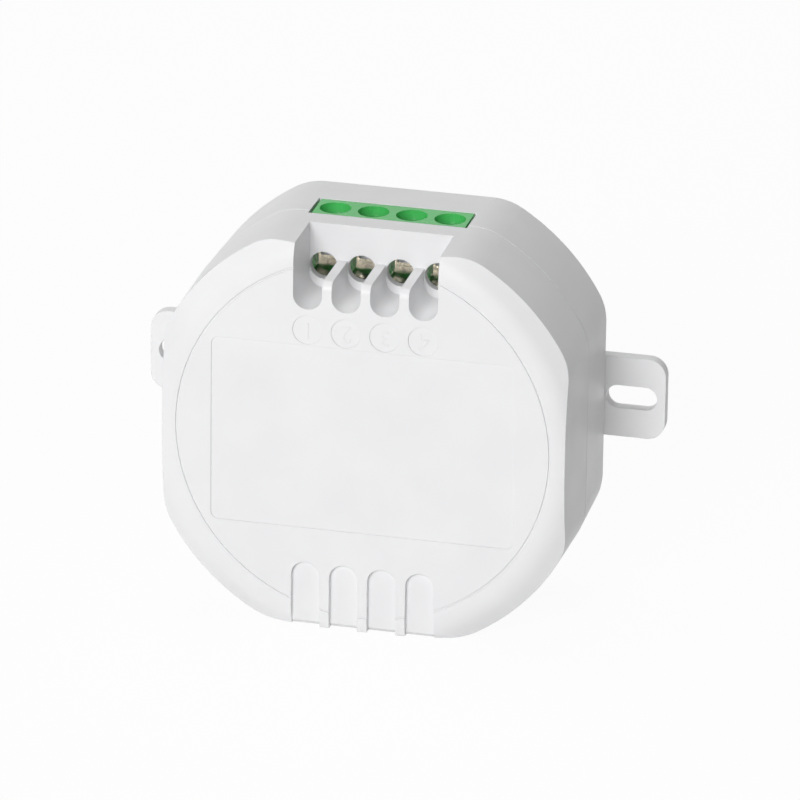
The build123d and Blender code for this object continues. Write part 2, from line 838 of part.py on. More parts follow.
# Choke: a drum core and the winding on it
choke_radius = choke_diameter / 2
choke_top = film_back - choke_height
choke_leads = [(choke_x + s * choke_lead_spacing / 2, can_rise) for s in (-1, 1)]
choke_outline = [
    (film_back, 0),
    (film_back, choke_radius),
    (film_back - choke_flange, choke_radius),
    (film_back - choke_flange, choke_core_diameter / 2),
    (choke_top + choke_flange, choke_core_diameter / 2),
    (choke_top + choke_flange, choke_radius),
    (choke_top, choke_radius),
    (choke_top, 0),
]
with BuildPart() as choke_core:
    add(turned(choke_x, can_rise, choke_outline))
    add(leads(choke_leads, film_back))
save(choke_core.part, "choke_core")

choke_coil_outline = [
    (film_back - choke_flange - press_gap, choke_core_diameter / 2 + press_gap),
    (film_back - choke_flange - press_gap, choke_radius - winding_sink),
    (choke_top + choke_flange + press_gap, choke_radius - winding_sink),
    (choke_top + choke_flange + press_gap, choke_core_diameter / 2 + press_gap),
]
save(turned(choke_x, can_rise, choke_coil_outline), "choke_winding")

# Power relay: cover, base, magnet and the swinging armature with its contact
relay_centre = mid_height + band_rise
coil_pins = [(coil_pin_x, band_rise + s * coil_pin_spacing / 2) for s in (-1, 1)]
yoke_pin = (yoke_x + yoke_thickness / 2, band_rise)
contact_pin = (strip_x + strip_thickness / 2, band_rise)
with BuildPart() as relay_cover:
    with BuildSketch(face_plane(relay_back)):
        with Locations((relay_x, band_rise)):
            Rectangle(relay_length, relay_width)
    extrude(amount=relay_back - relay_front)
    fillet(edges().filter_by(Axis.Y), relay_edge_radius)
    fillet(faces().sort_by(Axis.Y)[0].edges(), relay_edge_radius)
    with BuildSketch(face_plane(relay_back)):
        with Locations((relay_x, band_rise)):
            Rectangle(relay_length - 2 * relay_wall, relay_width - 2 * relay_wall)
    extrude(amount=relay_back - relay_front - relay_wall, mode=Mode.SUBTRACT)
save(relay_cover.part, "relay_cover")

with BuildPart() as relay_base:
    with BuildSketch(face_plane(relay_back)):
        with Locations((relay_x, band_rise)):
            Rectangle(relay_length - 2 * relay_wall - 2 * relay_fit, relay_width - 2 * relay_wall - 2 * relay_fit)
        with Locations(*coil_pins, yoke_pin, contact_pin):
            Circle(lead_diameter / 2 + lead_gap, mode=Mode.SUBTRACT)
    extrude(amount=relay_base_thickness)
save(relay_base.part, "relay_base")

with BuildPart() as relay_yoke:
    with BuildSketch(Plane.XY.offset(relay_centre)):
        with BuildLine():
            Polyline(
                (yoke_x, y_at(pole_face)),
                (yoke_x + yoke_thickness, y_at(pole_face)),
                (yoke_x + yoke_thickness, y_at(foot_front)),
                (coil_x + core_diameter, y_at(foot_front)),
                (coil_x + core_diameter, y_at(foot_front + yoke_thickness)),
                (yoke_x, y_at(foot_front + yoke_thickness)),
                close=True,
            )
        make_face()
    extrude(amount=yoke_width / 2, both=True)
    with BuildSketch(face_plane(foot_front + yoke_thickness)):
        with Locations((coil_x, band_rise)):
            Circle(core_diameter / 2 + press_gap)
    extrude(amount=yoke_thickness, mode=Mode.SUBTRACT)
    add(leads([yoke_pin], foot_front + yoke_thickness))
save(relay_yoke.part, "relay_yoke")

core_outline = [
    (foot_front + yoke_thickness, 0),
    (foot_front + yoke_thickness, core_diameter / 2),
    (bobbin_front - seat_gap, core_diameter / 2),
    (bobbin_front - seat_gap, pole_diameter / 2),
    (pole_face, pole_diameter / 2),
    (pole_face, 0),
]
save(turned(coil_x, band_rise, core_outline), "relay_core")

bobbin_bore = core_diameter / 2 + press_gap
bobbin_outline = [
    (bobbin_back, bobbin_bore),
    (bobbin_back, bobbin_diameter / 2),
    (bobbin_back - bobbin_wall, bobbin_diameter / 2),
    (bobbin_back - bobbin_wall, bobbin_bore + bobbin_wall),
    (bobbin_front + bobbin_wall, bobbin_bore + bobbin_wall),
    (bobbin_front + bobbin_wall, bobbin_diameter / 2),
    (bobbin_front, bobbin_diameter / 2),
    (bobbin_front, bobbin_bore),
]
save(turned(coil_x, band_rise, bobbin_outline), "relay_bobbin")

winding_bore = bobbin_bore + bobbin_wall + press_gap
winding_outline = [
    (bobbin_back - bobbin_wall - press_gap, winding_bore),
    (bobbin_back - bobbin_wall - press_gap, bobbin_diameter / 2 - winding_sink),
    (bobbin_front + bobbin_wall + press_gap, bobbin_diameter / 2 - winding_sink),
    (bobbin_front + bobbin_wall + press_gap, winding_bore),
]
save(turned(coil_x, band_rise, winding_outline), "relay_winding")

save(leads(coil_pins, base_front - yoke_thickness), "relay_coil_pins")

# The armature lies open at rest, turned away from the pole about the edge of the yoke
swing = math.radians(armature_swing)
hinge = Plane(
    origin=(yoke_x, y_at(pole_face), relay_centre),
    x_dir=(math.cos(swing), -math.sin(swing), 0),
    z_dir=(0, 0, 1),
)
leaf_face = -armature_gap - armature_thickness - press_gap
with BuildPart() as relay_armature:
    with BuildSketch(hinge):
        with Locations((armature_length / 2, -armature_gap - armature_thickness / 2)):
            Rectangle(armature_length, armature_thickness)
    extrude(amount=yoke_width / 2, both=True)
save(relay_armature.part, "relay_armature")

leaf_length = contact_offset + leaf_overhang - leaf_start
with BuildPart() as relay_leaf_spring:
    with BuildSketch(hinge):
        with Locations((leaf_start + leaf_length / 2, leaf_face - leaf_thickness / 2)):
            Rectangle(leaf_length, leaf_thickness)
    extrude(amount=leaf_width / 2, both=True)
    fillet(edges().filter_by(lambda e: abs(e.length - leaf_thickness) < 1e-6), leaf_overhang / 2)
save(relay_leaf_spring.part, "relay_leaf_spring")

contact_seat = Plane(
    origin=hinge.from_local_coords(Vector(contact_offset, leaf_face + press_gap, 0)),
    x_dir=(0, 0, 1),
    z_dir=hinge.y_dir,
)
with BuildPart() as relay_moving_contact:
    with BuildSketch(contact_seat):
        Circle(contact_diameter / 2)
    extrude(amount=moving_contact_height)
    fillet(faces().sort_by(Axis.Y)[-1].edges(), fixed_contact_height / 2)
save(relay_moving_contact.part, "relay_moving_contact")

# Fixed contact on its bent strip
landing = pole_face - armature_gap - armature_thickness + moving_contact_height + contact_gap
strip_face = landing + fixed_contact_height
with BuildPart() as relay_fixed_contact:
    with BuildSketch(Plane.XY.offset(relay_centre)):
        with BuildLine():
            Polyline(
                (contact_x - contact_diameter / 2, y_at(strip_face)),
                (strip_x + strip_thickness, y_at(strip_face)),
                (strip_x + strip_thickness, y_at(base_front - seat_gap)),
                (strip_x, y_at(base_front - seat_gap)),
                (strip_x, y_at(strip_face + strip_thickness)),
                (contact_x - contact_diameter / 2, y_at(strip_face + strip_thickness)),
                close=True,
            )
        make_face()
    extrude(amount=leaf_width / 2, both=True)
    with BuildSketch(face_plane(strip_face)):
        with Locations((contact_x, band_rise)):
            Circle(contact_diameter / 2)
    extrude(amount=fixed_contact_height)
    add(leads([contact_pin], base_front - seat_gap))
save(relay_fixed_contact.part, "relay_fixed_contact")

# Radio board standing on its pin strip
radio_back = board_front - radio_stand
radio_middle = y_at(radio_back - radio_height / 2)
radio_face = mid_height + radio_rise - radio_thickness / 2
strip_spots = [((i - (strip_pins - 1) / 2) * strip_pitch, strip_rise) for i in range(strip_pins)]
with BuildPart() as radio_board:
    with BuildSketch(Plane.XY.offset(radio_face)):
        with Locations((0, radio_middle)):
            Rectangle(radio_length, radio_height)
    extrude(amount=radio_thickness)
save(radio_board.part, "radio_board")

with BuildPart() as radio_pin_strip:
    with BuildSketch(face_plane(film_back)):
        with Locations((0, strip_rise)):
            Rectangle(strip_pins * strip_pitch, strip_pitch)
    extrude(amount=strip_height)
    add(leads(strip_spots, film_back))
save(radio_pin_strip.part, "radio_pin_strip")

with BuildPart() as radio_chip:
    with BuildSketch(Plane.XY.offset(radio_face - seat_gap)):
        with Locations((0, radio_middle)):
            Rectangle(radio_chip_size, radio_chip_size)
    extrude(amount=-radio_chip_height)
    chamfer(faces().sort_by(Axis.Z)[0].edges(), radio_chip_height / 5)
save(radio_chip.part, "radio_chip")

with BuildPart() as crystal:
    with BuildSketch(Plane.XY.offset(radio_face - seat_gap)):
        with Locations((radio_chip_size + crystal_length / 2, radio_middle)):
            RectangleRounded(crystal_length, crystal_width, crystal_height / 2)
    extrude(amount=-crystal_height)
save(crystal.part, "crystal")

# Spring antenna: a helix whose two ends run down through the board
antenna_axis = board_front - antenna_stand - antenna_diameter / 2
antenna_length = antenna_pitch * antenna_turns
antenna_radius = (antenna_diameter - antenna_wire) / 2
antenna_start = Vector(-antenna_length / 2, y_at(antenna_axis), mid_height + antenna_rise)
with BuildPart() as antenna_coil:
    with BuildLine() as antenna_path:
        Helix(antenna_pitch, antenna_length, antenna_radius, center=antenna_start, direction=(1, 0, 0))
    start = antenna_path.line @ 0
    end = antenna_path.line @ 1
    with BuildSketch(Plane(origin=start, z_dir=antenna_path.line % 0)):
        Circle(antenna_wire / 2)
    sweep(path=antenna_path.line, is_frenet=True)
    for foot in (start, end):
        with BuildSketch(face_plane(tail_end, 0)):
            with Locations((foot.X, foot.Z)):
                Circle(antenna_wire / 2 + press_gap)
        extrude(amount=y_at(tail_end) - foot.Y + antenna_wire / 4)
save(antenna_coil.part, "antenna_coil")

# Parts soldered to the back of the board
rear_seat = board_back + seat_gap


def on_back(height):
    """Plane on which a sketch is drawn so that it grows from the board's back by this height."""
    return face_plane(rear_seat + height)


with BuildPart() as controller_chip:
    with BuildSketch(on_back(controller_height)):
        with Locations((controller_x, band_rise)):
            Rectangle(controller_length, controller_width)
    extrude(amount=controller_height)
    chamfer(faces().sort_by(Axis.Y)[-1].edges(), controller_lead_thickness)
    lead_span = controller_width + 2 * controller_lead_reach
    with BuildSketch(on_back(controller_lead_thickness)):
        with Locations((controller_x, band_rise)):
            with GridLocations(controller_lead_pitch, 0, controller_leads, 1):
                Rectangle(controller_lead_width, lead_span)
    extrude(amount=controller_lead_thickness)
save(controller_chip.part, "controller_chip")

with BuildPart() as voltage_regulator:
    with BuildSketch(on_back(regulator_height)):
        with Locations((regulator_x, band_rise)):
            Rectangle(regulator_length, regulator_width)
    extrude(amount=regulator_height)
    with BuildSketch(on_back(controller_lead_thickness)):
        with Locations((regulator_x, band_rise)):
            Rectangle(regulator_tab, regulator_width + 2 * controller_lead_reach)
    extrude(amount=controller_lead_thickness)
save(voltage_regulator.part, "voltage_regulator")

with BuildPart() as chip_resistors:
    with BuildSketch(on_back(resistor_height)):
        with Locations((0, resistor_rise)):
            with GridLocations(chip_pitch, 0, resistor_count, 1):
                Rectangle(chip_length, chip_width)
    extrude(amount=resistor_height)
save(chip_resistors.part, "chip_resistors")

with BuildPart() as chip_capacitors:
    with BuildSketch(on_back(capacitor_height)):
        with Locations((0, capacitor_rise)):
            with GridLocations(chip_pitch, 0, capacitor_count, 1):
                Rectangle(chip_length, chip_width)
    extrude(amount=capacitor_height)
save(chip_capacitors.part, "chip_capacitors")

with BuildPart() as status_lamp:
    with BuildSketch(on_back(lamp_height)):
        with Locations((lamp_x, switch_rise)):
            Rectangle(lamp_length, lamp_width)
    extrude(amount=lamp_height)
save(status_lamp.part, "status_lamp")

# Light guide from the lamp to the back
guide_front = rear_seat + lamp_height + guide_gap
guide_outline = [
    (guide_front, 0),
    (guide_front, guide_flange / 2),
    (inner_back - seat_gap, guide_flange / 2),
    (inner_back - seat_gap, guide_diameter / 2),
    (body_depth, guide_diameter / 2),
    (body_depth, 0),
]
save(turned(lamp_x, switch_rise, guide_outline), "light_guide")

# Push-button switch: its body, its sprung plunger and the cap in the back wall
switch_top = rear_seat + switch_height
switch_lid = (switch_height - plunger_flange_height - button_travel) / 4
with BuildPart() as switch_body:
    with BuildSketch(face_plane(switch_top)):
        with Locations((switch_x, switch_rise)):
            RectangleRounded(switch_size, switch_size, switch_lid)
    extrude(amount=switch_height)
    with BuildSketch(face_plane(switch_top - switch_lid)):
        with Locations((switch_x, switch_rise)):
            Circle(plunger_flange / 2 + plunger_gap)
    extrude(amount=switch_height - 2 * switch_lid, mode=Mode.SUBTRACT)
    with BuildSketch(face_plane(switch_top)):
        with Locations((switch_x, switch_rise)):
            Circle(plunger_diameter / 2 + plunger_gap)
    extrude(amount=switch_lid, mode=Mode.SUBTRACT)
save(switch_body.part, "switch_body")

flange_back = switch_top - switch_lid - seat_gap
plunger_tip = switch_top + plunger_stand
plunger_outline = [
    (flange_back - plunger_flange_height, 0),
    (flange_back - plunger_flange_height, plunger_flange / 2),
    (flange_back, plunger_flange / 2),
    (flange_back, plunger_diameter / 2),
    (plunger_tip, plunger_diameter / 2),
    (plunger_tip, 0),
]
save(turned(switch_x, switch_rise, plunger_outline), "switch_plunger")

button_front = plunger_tip + seat_gap
button_outline = [
    (button_front, 0),
    (button_front, button_flange / 2),
    (inner_back - seat_gap, button_flange / 2),
    (inner_back - seat_gap, button_diameter / 2),
    (body_depth - button_sink, button_diameter / 2),
    (body_depth - button_sink, 0),
]
save(turned(switch_x, switch_rise, button_outline), "pairing_button")

# Circuit board with its holes, and the screws that hold it on two of the posts
pin_spots = [(x, pin_height - mid_height) for x in pole_x]
antenna_feet = [(start.X, start.Z - mid_height), (end.X, end.Z - mid_height)]
with BuildPart() as circuit_board:
    with BuildSketch(face_plane(board_back)):
        with Locations((0, 0)):
            draw_outline(board_inset)
        with Locations(*lead_holes):
            Circle(lead_diameter / 2 + lead_gap, mode=Mode.SUBTRACT)
        with Locations(*antenna_feet):
            Circle(antenna_wire / 2 + lead_gap, mode=Mode.SUBTRACT)
        with Locations(*pin_spots):
            Rectangle(pin_width + 2 * lead_gap, pin_thickness + 2 * lead_gap, mode=Mode.SUBTRACT)
        with Locations(*screw_spots):
            Circle(board_screw_diameter / 2 + lead_gap, mode=Mode.SUBTRACT)
    extrude(amount=board_thickness)
save(circuit_board.part, "circuit_board")

screw_tip = board_front - seat_gap + board_screw_length
with BuildPart() as board_screws:
    with BuildSketch(face_plane(screw_tip)):
        with Locations(*screw_spots):
            Circle(board_screw_diameter / 2)
    extrude(amount=board_screw_length)
    with BuildSketch(face_plane(board_front - seat_gap)):
        with Locations(*screw_spots):
            Circle(board_screw_head / 2)
    extrude(amount=board_screw_head_height)
    with BuildSketch(face_plane(board_front - seat_gap - board_screw_head_height / 2)):
        with Locations(*screw_spots):
            Rectangle(board_screw_head, slit_width, mode=Mode.ADD)
    extrude(amount=board_screw_head_height, mode=Mode.SUBTRACT)
save(board_screws.part, "board_screws")
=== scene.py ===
import bpy
import bmesh
import math
from mathutils import Matrix, Vector


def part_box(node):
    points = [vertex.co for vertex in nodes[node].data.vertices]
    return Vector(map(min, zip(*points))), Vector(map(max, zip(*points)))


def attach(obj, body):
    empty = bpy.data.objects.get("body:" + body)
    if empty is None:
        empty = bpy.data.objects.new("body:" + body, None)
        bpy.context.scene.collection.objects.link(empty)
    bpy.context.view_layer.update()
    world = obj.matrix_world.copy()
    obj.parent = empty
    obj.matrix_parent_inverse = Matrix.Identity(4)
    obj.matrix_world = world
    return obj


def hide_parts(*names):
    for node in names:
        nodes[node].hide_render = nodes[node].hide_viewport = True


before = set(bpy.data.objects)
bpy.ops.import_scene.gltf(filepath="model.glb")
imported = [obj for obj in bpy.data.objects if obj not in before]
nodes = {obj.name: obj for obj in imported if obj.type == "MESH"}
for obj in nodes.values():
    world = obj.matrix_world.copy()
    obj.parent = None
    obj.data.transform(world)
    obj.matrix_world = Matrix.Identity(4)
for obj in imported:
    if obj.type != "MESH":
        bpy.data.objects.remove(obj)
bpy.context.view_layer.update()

MM = 0.001

# How far the face's round groove sits over the middle, in millimetres, and places that the frame gives
RING_RISE = 0.35
front_low, front_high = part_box("front_shell")
FACE_Y = front_low[1]
MID_Z = (front_low[2] + front_high[2]) / 2
RING_Z = MID_Z + RING_RISE * MM
BOARD_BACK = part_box("circuit_board")[1][1]
POLES = 4

# Camera: angles in degrees, shifts and sensor in millimetres, distance and clipping in metres, and the
# focal length and the picture's width in pixels
CAMERA_AZIMUTH = 13.61
CAMERA_ELEVATION = 21.92
CAMERA_ROLL = 0.74
CAMERA_DISTANCE = 0.9637
CAMERA_SHIFT_RIGHT = 4.90
CAMERA_SHIFT_UP = 5.32
FOCAL_PIXELS = 7500
PICTURE_PIXELS = 800
SENSOR_WIDTH = 36
CLIP_START = 0.05
CLIP_END = 20

# Lamps: place in metres, size in metres, energy in watts
LAMPS = {
    "key_light": ((-0.15, -1.22, 0.55), 0.6, 11.3),
    "left_light": ((-1.10, -0.25, 0.35), 0.7, 1.5),
    "top_light": ((-0.12, 0.25, 1.20), 0.8, 4.6),
}

# Studio: how bright the world is for the object, and how much of world and floor looks plain white
WORLD_STRENGTH = 0.12
WORLD_WHITE = 1.0
FLOOR_WHITE = 0.95
FLOOR_RADIUS = 4
FLOOR_SIDES = 96
PAPER_COLOUR = (0.93, 0.93, 0.93, 1)
WHITE = (1, 1, 1, 1)

# Finishes: the span that noise fills, the samples of a rounded look, one band of the wave pattern at
# scale 1, a wire's bump as a share of its width, and the size of the board's tracks in millimetres
NOISE_LOW = 0.3
NOISE_HIGH = 0.7
BEVEL_SAMPLES = 6
WAVE_LENGTH = 0.31416
WIRE_BUMP = 0.3
TRACK_PATTERN = 4.2

# Sockets of the node that mixes colours, whose names are not unique
MIX_FACTOR, MIX_FROM, MIX_TO, MIX_RESULT = 0, 6, 7, 2

# Terminal screws, in millimetres
SCREW_HEAD_HEIGHT = 1.1
SCREW_EDGE = 0.07
SCREW_CORE_RADIUS = 1.18
SCREW_CORE_CHAMFER = 0.15
SCREW_OVERLAP = 0.1
SCREW_THREAD_RADIUS = 1.44
SCREW_THREAD_PITCH = 0.5
THREAD_FULLNESS = 0.8
THREAD_STEPS = 24
RIVET_HEAD_RADIUS = 0.95
RIVET_HEAD_HEIGHT = 0.2
RIVET_EDGE = 0.05
RIVET_RADIUS = 0.6
PLATE_THICKNESS = 0.5
RUNNING_GAP = 0.05

# Numbers in the round fields, in millimetres, and the share of a letter's size that a digit is high
NUMBER_HEIGHT = 2.2
NUMBER_RISE = 0.05
NUMBER_ROOT = 0.05
FIELD_SINK = 0.12
FIELD_RISE = 14.55
DIGIT_SHARE = 0.7

# Solder behind the board, in millimetres and degrees, and how far a lead reaches and its points spread
SOLDER_RADIUS = 0.85
SOLDER_TIP_RADIUS = 0.38
SOLDER_HEIGHT = 0.75
SOLDER_EDGE = 0.12
SOLDER_SHARP_ANGLE = 30
SOLDER_SIDES = 20
LEAD_REACH = 0.3
LEAD_SPREAD = 1.3

# Sheet in the wire holes, in millimetres, with the collar's start and arc in degrees
CLAMP_AXIS_SINK = 1.7
CLAMP_DEPTH = 5.2
CLAMP_MOUTH_WIDTH = 3.06
CLAMP_MOUTH_LOW = 2.18
CLAMP_LIP_HEIGHT = 0.85
CLAMP_LIP_THICKNESS = 0.3
CLAMP_LIP_GAP = 0.05
COLLAR_RADIUS = 2.08
COLLAR_WALL = 0.12
COLLAR_DEPTH = 1.85
COLLAR_GAP = 0.03
COLLAR_START = 125
COLLAR_ARC = 272

# Meshes: how near two points are one point, in millimetres, how flat two faces are one face and how sharp
# an edge is rounded, in degrees, and how many steps a turned shape has
MERGE_DISTANCE = 0.0005
FLAT_ANGLE = 1
SHARP_ANGLE = 50
SPIN_STEPS = 40


def add_object(name, data):
    """New object in the scene."""
    made = bpy.data.objects.new(name, data)
    bpy.context.scene.collection.objects.link(made)
    return made


def aim_camera():
    """Camera at the photograph's angle."""
    azimuth, elevation, roll = (math.radians(a) for a in (CAMERA_AZIMUTH, CAMERA_ELEVATION, CAMERA_ROLL))
    back = Vector((
        math.sin(azimuth) * math.cos(elevation),
        -math.cos(azimuth) * math.cos(elevation),
        math.sin(elevation),
    ))
    right = Vector((math.cos(azimuth), math.sin(azimuth), 0))
    up = back.cross(right)
    right, up = (
        math.cos(roll) * right + math.sin(roll) * up,
        math.cos(roll) * up - math.sin(roll) * right,
    )
    place = Vector((0, FACE_Y, RING_Z)) + back * CAMERA_DISTANCE
    place += right * CAMERA_SHIFT_RIGHT * MM + up * CAMERA_SHIFT_UP * MM
    lens = bpy.data.cameras.new("camera")
    lens.sensor_width = SENSOR_WIDTH
    lens.lens = SENSOR_WIDTH * FOCAL_PIXELS / PICTURE_PIXELS
    lens.clip_start = CLIP_START
    lens.clip_end = CLIP_END
    camera = add_object("camera", lens)
    camera.matrix_world = Matrix((
        (right.x, up.x, back.x, place.x),
        (right.y, up.y, back.y, place.y),
        (right.z, up.z, back.z, place.z),
        (0, 0, 0, 1),
    ))
    bpy.context.scene.camera = camera


class Finish:
    """One procedural material: a Principled shader and the nodes that feed it."""

    def __init__(self, name, colour, roughness, metallic=0.0, **sockets):
        self.material = bpy.data.materials.new(name)
        self.material.use_nodes = True
        self.tree = self.material.node_tree
        self.shader = self.tree.nodes["Principled BSDF"]
        self.shader.inputs["Base Color"].default_value = (*colour, 1)
        self.shader.inputs["Roughness"].default_value = roughness
        self.shader.inputs["Metallic"].default_value = metallic
        for socket, value in sockets.items():
            self.shader.inputs[socket.replace("_", " ")].default_value = value
        self.colour = colour
        self.place = self.node("ShaderNodeTexCoord").outputs["Object"]
        self.normal = None

    def node(self, kind, **settings):
        """New shader node with values for its inputs or its own settings."""
        made = self.tree.nodes.new(kind)
        for key, value in settings.items():
            if key in made.inputs:
                made.inputs[key].default_value = value
            else:
                setattr(made, key, value)
        return made

    def link(self, source, target):
        self.tree.links.new(source, target)

    def mapped(self, scale=(1, 1, 1), turn=(0, 0, 0)):
        """Object coordinates, stretched and turned."""
        mapping = self.node("ShaderNodeMapping")
        mapping.inputs["Scale"].default_value = scale
        mapping.inputs["Rotation"].default_value = turn
        self.link(self.place, mapping.inputs["Vector"])
        return mapping.outputs["Vector"]

    def noise(self, size_mm, detail, vector=None):
        """Cloudy pattern of a size in millimetres."""
        made = self.node("ShaderNodeTexNoise", Scale=1 / (size_mm * MM), Detail=detail)
        self.link(vector or self.place, made.inputs["Vector"])
        return made.outputs["Fac"]

    def ramp(self, value, low, high, start=NOISE_LOW, end=NOISE_HIGH):
        """Value that runs from low to high while another runs from start to end."""
        made = self.node("ShaderNodeMapRange")
        made.inputs["From Min"].default_value = start
        made.inputs["From Max"].default_value = end
        made.inputs["To Min"].default_value = low
        made.inputs["To Max"].default_value = high
        self.link(value, made.inputs["Value"])
        return made.outputs["Result"]

    def tint(self, value, other, start=NOISE_LOW, end=NOISE_HIGH):
        """Colour that runs from the finish's own to another with a value."""
        made = self.node("ShaderNodeMix", data_type="RGBA")
        self.link(self.ramp(value, 0, 1, start, end), made.inputs[MIX_FACTOR])
        made.inputs[MIX_FROM].default_value = (*self.colour, 1)
        made.inputs[MIX_TO].default_value = (*other, 1)
        self.link(made.outputs[MIX_RESULT], self.shader.inputs["Base Color"])

    def polish(self, value, low, high):
        """Roughness that runs between two amounts with a value."""
        self.link(self.ramp(value, low, high), self.shader.inputs["Roughness"])

    def soften(self, radius_mm):
        """Rounded look on the edges."""
        made = self.node("ShaderNodeBevel", samples=BEVEL_SAMPLES)
        made.inputs["Radius"].default_value = radius_mm * MM
        self.normal = made.outputs["Normal"]
        self.link(self.normal, self.shader.inputs["Normal"])

    def grain(self, value, depth_mm):
        """Bump of a depth in millimetres."""
        made = self.node("ShaderNodeBump", Strength=1.0)
        made.inputs["Distance"].default_value = depth_mm * MM
        self.link(value, made.inputs["Height"])
        if self.normal:
            self.link(self.normal, made.inputs["Normal"])
        self.normal = made.outputs["Normal"]
        self.link(self.normal, self.shader.inputs["Normal"])


def moulded(name, colour, other, roughness, grain_mm=0.25, depth_mm=0.004, edge_mm=0.0, **sockets):
    """Moulded plastic: a little uneven in colour and gloss, with a fine grain."""
    finish = Finish(name, colour, roughness, **sockets)
    finish.tint(finish.noise(size_mm=9, detail=3), other)
    finish.polish(finish.noise(size_mm=4, detail=3), roughness - 0.05, roughness + 0.06)
    if edge_mm:
        finish.soften(edge_mm)
    finish.grain(finish.noise(grain_mm, detail=2), depth_mm)
    return finish.material


def plated(name, colour, other, roughness, streak=(1, 1, 1), depth_mm=0.003, edge_mm=0.05):
    """Plated or bare metal with fine drawn streaks and slightly dull patches."""
    finish = Finish(name, colour, roughness, metallic=1.0)
    finish.tint(finish.noise(size_mm=2.5, detail=4), other)
    finish.polish(finish.noise(size_mm=0.8, detail=3), roughness - 0.08, roughness + 0.12)
    if edge_mm:
        finish.soften(edge_mm)
    lines = finish.noise(size_mm=0.12, detail=2, vector=finish.mapped(scale=streak))
    finish.grain(lines, depth_mm)
    return finish.material


def wound(name, colour, other, wire_mm):
    """Enamelled wire wound side by side: bands across the winding's axis."""
    finish = Finish(name, colour, roughness=0.3, metallic=0.7, Coat_Weight=0.5)
    wave = finish.node("ShaderNodeTexWave", wave_type="BANDS", bands_direction="Y")
    wave.inputs["Scale"].default_value = WAVE_LENGTH / (wire_mm * MM)
    wave.inputs["Distortion"].default_value = 0.3
    finish.link(finish.place, wave.inputs["Vector"])
    finish.tint(wave.outputs["Fac"], other, 0.0, 1.0)
    finish.grain(wave.outputs["Fac"], wire_mm * WIRE_BUMP)
    return finish.material


def laminate(name):
    """Green board: tracks under the solder resist, and the woven glass beneath."""
    finish = Finish(name, (0.02, 0.16, 0.06), roughness=0.35, Coat_Weight=0.3)
    brick = finish.node("ShaderNodeTexBrick", offset=0.5, squash=0.6)
    brick.inputs["Scale"].default_value = 1 / (TRACK_PATTERN * MM)
    brick.inputs["Mortar Size"].default_value = 0.09
    brick.inputs["Mortar Smooth"].default_value = 0.2
    finish.link(finish.mapped(turn=(math.radians(90), 0, 0)), brick.inputs["Vector"])
    finish.tint(brick.outputs["Fac"], (0.05, 0.28, 0.12), 0.0, 1.0)
    finish.grain(brick.outputs["Fac"], depth_mm=0.02)
    finish.polish(finish.noise(size_mm=0.4, detail=2), low=0.3, high=0.42)
    return finish.material


def numbered(stem):
    """Names of the CAD nodes that each pole has one of."""
    return [f"{stem}_{n}" for n in range(1, POLES + 1)]


def dress(material, *names):
    """Give CAD nodes a finish."""
    for name in names:
        mesh = nodes[name].data
        mesh.materials.clear()
        mesh.materials.append(material)


shell_white = moulded("shell_white", (0.86, 0.86, 0.865), (0.83, 0.83, 0.84), roughness=0.42,
                      grain_mm=0.3, depth_mm=0.003, edge_mm=0.12)
terminal_green = moulded("terminal_green", (0.075, 0.56, 0.13), (0.065, 0.50, 0.11), roughness=0.26,
                         grain_mm=0.2, depth_mm=0.002, edge_mm=0.1)
tinned_brass = plated("tinned_brass", (0.86, 0.83, 0.75), (0.78, 0.75, 0.68), roughness=0.14,
                      streak=(1, 6, 1), depth_mm=0.001)
zinc_steel = plated("zinc_steel", (0.74, 0.75, 0.78), (0.64, 0.65, 0.69), roughness=0.28, streak=(1, 1, 6))
clamp_sheet = plated("clamp_sheet", (0.60, 0.58, 0.52), (0.52, 0.50, 0.45), roughness=0.12,
                     streak=(1, 6, 1), depth_mm=0.001)
solder_tin = plated("solder_tin", (0.80, 0.81, 0.82), (0.70, 0.71, 0.72), roughness=0.22)


def dress_outside():
    """Finishes of the nodes that show from outside."""
    dress(shell_white, "front_shell", "rear_shell")
    dress(terminal_green, "terminal_housing")
    dress(tinned_brass, *numbered("terminal_clamp"))
    dress(zinc_steel, *numbered("terminal_plate"), *numbered("terminal_screw"))
    button_grey = moulded("button_grey", (0.50, 0.51, 0.53), (0.46, 0.47, 0.49), roughness=0.45, edge_mm=0.1)
    dress(button_grey, "pairing_button")
    guide_clear = moulded("light_guide_clear", (0.86, 0.90, 0.93), (0.82, 0.87, 0.90), roughness=0.1,
                          grain_mm=0.4, depth_mm=0.001, Transmission_Weight=0.6)
    dress(guide_clear, "light_guide")


